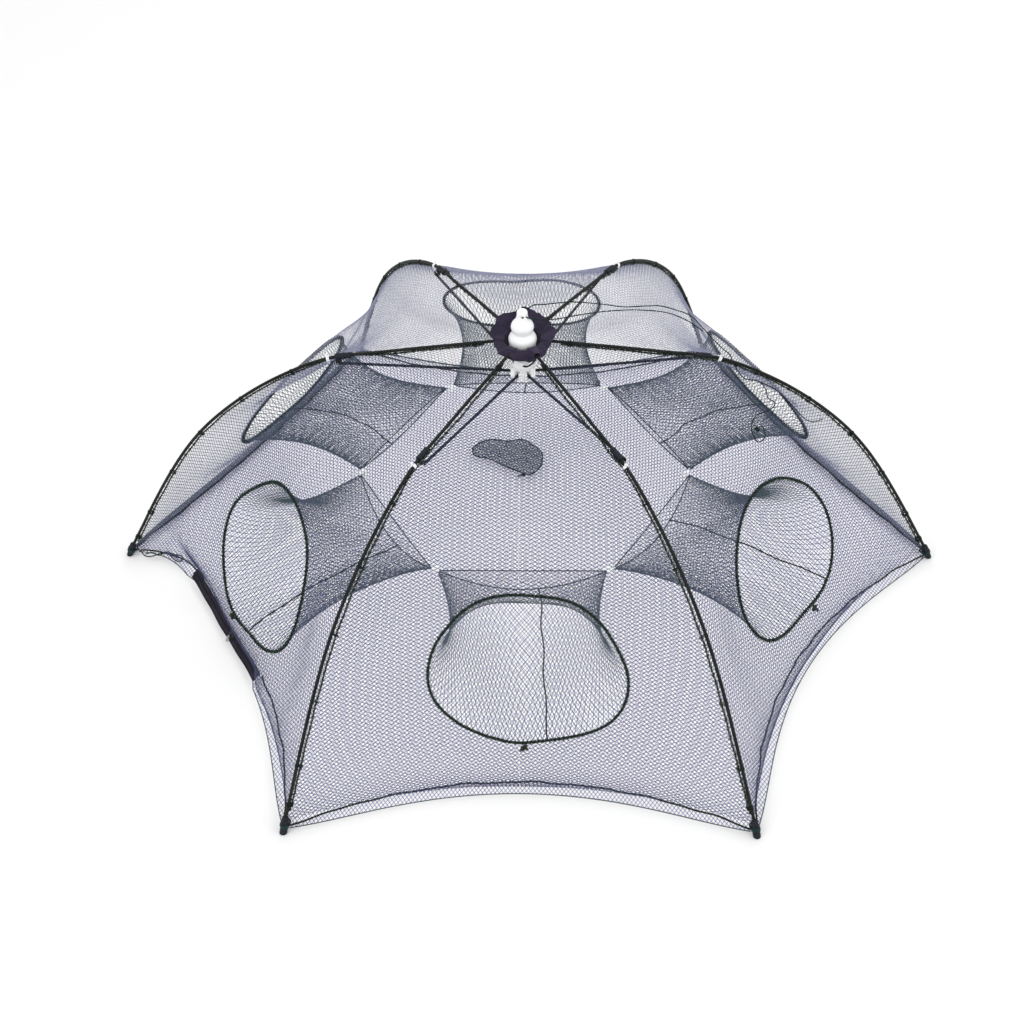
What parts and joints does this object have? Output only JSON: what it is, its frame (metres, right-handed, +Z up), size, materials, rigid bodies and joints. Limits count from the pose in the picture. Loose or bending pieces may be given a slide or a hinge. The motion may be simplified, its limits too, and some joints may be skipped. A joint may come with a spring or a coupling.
{
  "type": "folding crab trap",
  "caption": "Umbrella-framed net trap with round side entries leading through net funnels; the ribs fold down round a centre handle.",
  "frame": {"origin": "on the centre line of the open trap, at the level of the undersides of the tip caps", "axes": "+Z up along the handle, +X towards rib 1, -Y towards the front panel"},
  "size_m": [0.9402, 0.8151, 0.344],
  "materials": {
    "black_plastic": "moulded, slightly dull",
    "white_plastic": "glossy moulded white",
    "rod_black": "pultruded glass-fibre rod, satin black",
    "steel_wire": "drawn wire",
    "dark_metal": "black coated metal",
    "cap_cloth": "thin woven polyester, gathered",
    "green_cord": "twisted nylon cord",
    "net": "fine knotted nylon mesh",
    "zip_tape": "woven zip tape with coil teeth"
  },
  "bodies": {
    "hub": {"hub_body": "black_plastic", "hub_pivot_wire": "steel_wire", "hub_cap": "cap_cloth", "lift_cord": "green_cord"},
    "plunger": {"gourd_handle": "white_plastic", "centre_rod": "white_plastic", "runner": "white_plastic", "rod_cross_pin": "dark_metal"},
    "rib_arm_1": {"rib_1": "rod_black", "rib_joint_1": "black_plastic", "tip_cap_1": "black_plastic", "canopy_panel_1": "net"},
    "stretcher_arm_1": {"stretcher_1": "rod_black"},
    "entry_1": {"entry_ring_1": "green_cord", "funnel_1": "net"},
    "floor_1": {"floor_net_1": "net"},
    "rib_arm_2": {"rib_2": "rod_black", "rib_joint_2": "black_plastic", "tip_cap_2": "black_plastic", "canopy_panel_2": "net"},
    "stretcher_arm_2": {"stretcher_2": "rod_black"},
    "entry_2": {"entry_ring_2": "green_cord", "funnel_2": "net"},
    "floor_2": {"floor_net_2": "net"},
    "rib_arm_3": {"rib_3": "rod_black", "rib_joint_3": "black_plastic", "tip_cap_3": "black_plastic", "canopy_panel_3": "net"},
    "stretcher_arm_3": {"stretcher_3": "rod_black"},
    "entry_3": {"entry_ring_3": "green_cord", "funnel_3": "net"},
    "floor_3": {"floor_net_3": "net", "bait_pocket": "net"},
    "rib_arm_4": {"rib_4": "rod_black", "rib_joint_4": "black_plastic", "tip_cap_4": "black_plastic", "canopy_panel_4": "net", "tie_loop": "green_cord"},
    "stretcher_arm_4": {"stretcher_4": "rod_black"},
    "entry_4": {"entry_ring_4": "green_cord", "funnel_4": "net"},
    "floor_4": {"floor_net_4": "net"},
    "rib_arm_5": {"rib_5": "rod_black", "rib_joint_5": "black_plastic", "tip_cap_5": "black_plastic", "canopy_panel_5": "net"},
    "stretcher_arm_5": {"stretcher_5": "rod_black"},
    "entry_5": {"entry_ring_5": "green_cord", "funnel_5": "net"},
    "floor_5": {"floor_net_5": "net"},
    "rib_arm_6": {"rib_6": "rod_black", "rib_joint_6": "black_plastic", "tip_cap_6": "black_plastic", "canopy_panel_6": "net"},
    "stretcher_arm_6": {"stretcher_6": "rod_black"},
    "entry_6": {"entry_ring_6": "green_cord", "funnel_6": "net"},
    "floor_6": {"floor_net_6": "net"},
    "zip": {"zipper_tape": "zip_tape"},
    "zip_slider": {"zipper_slider": "dark_metal"}
  },
  "joints": [
    {"name": "rib_1_fold", "type": "hinge", "parent": "hub", "child": "rib_arm_1", "pos_m": [0.021, 0, 0.306], "axis": [0, 1, 0], "range_deg": [0, 53], "deforming": ["canopy_panel_1"]},
    {"name": "rib_2_fold", "type": "hinge", "parent": "hub", "child": "rib_arm_2", "pos_m": [0.0105, 0.01819, 0.306], "axis": [-0.866, 0.5, 0], "range_deg": [0, 53], "deforming": ["canopy_panel_2"]},
    {"name": "rib_3_fold", "type": "hinge", "parent": "hub", "child": "rib_arm_3", "pos_m": [-0.0105, 0.01819, 0.306], "axis": [-0.866, -0.5, 0], "range_deg": [0, 53], "deforming": ["canopy_panel_3"]},
    {"name": "rib_4_fold", "type": "hinge", "parent": "hub", "child": "rib_arm_4", "pos_m": [-0.021, 0, 0.306], "axis": [0, -1, 0], "range_deg": [0, 53], "deforming": ["canopy_panel_4", "tie_loop"]},
    {"name": "rib_5_fold", "type": "hinge", "parent": "hub", "child": "rib_arm_5", "pos_m": [-0.0105, -0.01819, 0.306], "axis": [0.866, -0.5, 0], "range_deg": [0, 53], "deforming": ["canopy_panel_5"]},
    {"name": "rib_6_fold", "type": "hinge", "parent": "hub", "child": "rib_arm_6", "pos_m": [0.0105, -0.01819, 0.306], "axis": [0.866, 0.5, 0], "range_deg": [0, 53], "deforming": ["canopy_panel_6"]},
    {"name": "handle_lift", "type": "slide", "parent": "hub", "child": "plunger", "axis": [0, 0, 1], "range_m": [0, 0.04421], "deforming": ["lift_cord"]},
    {"name": "stretcher_1_swing", "type": "hinge", "parent": "plunger", "child": "stretcher_arm_1", "pos_m": [0.01, 0, 0.267], "axis": [0, 1, 0], "range_deg": [0, 63.32]},
    {"name": "stretcher_2_swing", "type": "hinge", "parent": "plunger", "child": "stretcher_arm_2", "pos_m": [0.005, 0.00866, 0.267], "axis": [-0.866, 0.5, 0], "range_deg": [0, 63.32]},
    {"name": "stretcher_3_swing", "type": "hinge", "parent": "plunger", "child": "stretcher_arm_3", "pos_m": [-0.005, 0.00866, 0.267], "axis": [-0.866, -0.5, 0], "range_deg": [0, 63.32]},
    {"name": "stretcher_4_swing", "type": "hinge", "parent": "plunger", "child": "stretcher_arm_4", "pos_m": [-0.01, 0, 0.267], "axis": [0, -1, 0], "range_deg": [0, 63.32]},
    {"name": "stretcher_5_swing", "type": "hinge", "parent": "plunger", "child": "stretcher_arm_5", "pos_m": [-0.005, -0.00866, 0.267], "axis": [0.866, -0.5, 0], "range_deg": [0, 63.32]},
    {"name": "stretcher_6_swing", "type": "hinge", "parent": "plunger", "child": "stretcher_arm_6", "pos_m": [0.005, -0.00866, 0.267], "axis": [0.866, 0.5, 0], "range_deg": [0, 63.32]},
    {"name": "entry_1_fold", "type": "hinge", "parent": "hub", "child": "entry_1", "pos_m": [0.01819, 0.0105, 0.306], "axis": [-0.5, 0.866, 0], "range_deg": [0, 53.05], "deforming": ["entry_ring_1", "funnel_1"]},
    {"name": "entry_2_fold", "type": "hinge", "parent": "hub", "child": "entry_2", "pos_m": [0, 0.021, 0.306], "axis": [-1, 0, 0], "range_deg": [0, 53.05], "deforming": ["entry_ring_2", "funnel_2"]},
    {"name": "entry_3_fold", "type": "hinge", "parent": "hub", "child": "entry_3", "pos_m": [-0.01819, 0.0105, 0.306], "axis": [-0.5, -0.866, 0], "range_deg": [0, 53.05], "deforming": ["entry_ring_3", "funnel_3"]},
    {"name": "entry_4_fold", "type": "hinge", "parent": "hub", "child": "entry_4", "pos_m": [-0.01819, -0.0105, 0.306], "axis": [0.5, -0.866, 0], "range_deg": [0, 53.05], "deforming": ["entry_ring_4", "funnel_4"]},
    {"name": "entry_5_fold", "type": "hinge", "parent": "hub", "child": "entry_5", "pos_m": [0, -0.021, 0.306], "axis": [1, 0, 0], "range_deg": [0, 53.05], "deforming": ["entry_ring_5", "funnel_5"]},
    {"name": "entry_6_fold", "type": "hinge", "parent": "hub", "child": "entry_6", "pos_m": [0.01819, -0.0105, 0.306], "axis": [0.5, 0.866, 0], "range_deg": [0, 53.05], "deforming": ["entry_ring_6", "funnel_6"]},
    {"name": "floor_1_gather", "type": "hinge", "parent": "rib_arm_1", "child": "floor_1", "pos_m": [0.458, 0, 0.0041], "axis": [0, 1, 0], "range_deg": [0, 37.05], "deforming": ["floor_net_1"]},
    {"name": "floor_2_gather", "type": "hinge", "parent": "rib_arm_2", "child": "floor_2", "pos_m": [0.229, 0.39664, 0.0041], "axis": [-0.866, 0.5, 0], "range_deg": [0, 37.05], "deforming": ["floor_net_2"]},
    {"name": "floor_3_gather", "type": "hinge", "parent": "rib_arm_3", "child": "floor_3", "pos_m": [-0.229, 0.39664, 0.0041], "axis": [-0.866, -0.5, 0], "range_deg": [0, 37.05], "deforming": ["floor_net_3", "bait_pocket"]},
    {"name": "floor_4_gather", "type": "hinge", "parent": "rib_arm_4", "child": "floor_4", "pos_m": [-0.458, 0, 0.0041], "axis": [0, -1, 0], "range_deg": [0, 37.05], "deforming": ["floor_net_4"]},
    {"name": "floor_5_gather", "type": "hinge", "parent": "rib_arm_5", "child": "floor_5", "pos_m": [-0.229, -0.39664, 0.0041], "axis": [0.866, -0.5, 0], "range_deg": [0, 37.05], "deforming": ["floor_net_5"]},
    {"name": "floor_6_gather", "type": "hinge", "parent": "rib_arm_6", "child": "floor_6", "pos_m": [0.229, -0.39664, 0.0041], "axis": [0.866, 0.5, 0], "range_deg": [0, 37.05], "deforming": ["floor_net_6"]},
    {"name": "zip_swing", "type": "hinge", "parent": "floor_4", "child": "zip", "pos_m": [-0.39064, -0.0454, 0.0084], "axis": [0, 0, 1], "range_deg": [0, 60.05], "deforming": ["zipper_tape"]},
    {"name": "slider_run", "type": "slide", "parent": "zip", "child": "zip_slider", "axis": [0.5, -0.866, 0], "range_m": [-0.112, 0.063]}
  ],
  "couplings": [
    {"joint": "rib_2_fold", "follows": "rib_1_fold", "ratio": 1},
    {"joint": "rib_3_fold", "follows": "rib_1_fold", "ratio": 1},
    {"joint": "rib_4_fold", "follows": "rib_1_fold", "ratio": 1},
    {"joint": "rib_5_fold", "follows": "rib_1_fold", "ratio": 1},
    {"joint": "rib_6_fold", "follows": "rib_1_fold", "ratio": 1},
    {"joint": "handle_lift", "follows": "rib_1_fold", "m_per_rad": 0.047575},
    {"joint": "stretcher_1_swing", "follows": "rib_1_fold", "ratio": 1.1939},
    {"joint": "stretcher_2_swing", "follows": "rib_1_fold", "ratio": 1.1939},
    {"joint": "stretcher_3_swing", "follows": "rib_1_fold", "ratio": 1.1939},
    {"joint": "stretcher_4_swing", "follows": "rib_1_fold", "ratio": 1.1939},
    {"joint": "stretcher_5_swing", "follows": "rib_1_fold", "ratio": 1.1939},
    {"joint": "stretcher_6_swing", "follows": "rib_1_fold", "ratio": 1.1939},
    {"joint": "entry_1_fold", "follows": "rib_1_fold", "ratio": 1},
    {"joint": "entry_2_fold", "follows": "rib_1_fold", "ratio": 1},
    {"joint": "entry_3_fold", "follows": "rib_1_fold", "ratio": 1},
    {"joint": "entry_4_fold", "follows": "rib_1_fold", "ratio": 1},
    {"joint": "entry_5_fold", "follows": "rib_1_fold", "ratio": 1},
    {"joint": "entry_6_fold", "follows": "rib_1_fold", "ratio": 1},
    {"joint": "floor_1_gather", "follows": "rib_1_fold", "ratio": 0.69811},
    {"joint": "floor_2_gather", "follows": "rib_1_fold", "ratio": 0.69811},
    {"joint": "floor_3_gather", "follows": "rib_1_fold", "ratio": 0.69811},
    {"joint": "floor_4_gather", "follows": "rib_1_fold", "ratio": 0.69811},
    {"joint": "floor_5_gather", "follows": "rib_1_fold", "ratio": 0.69811},
    {"joint": "floor_6_gather", "follows": "rib_1_fold", "ratio": 0.69811},
    {"joint": "zip_swing", "follows": "rib_1_fold", "ratio": 1.1321}
  ]
}
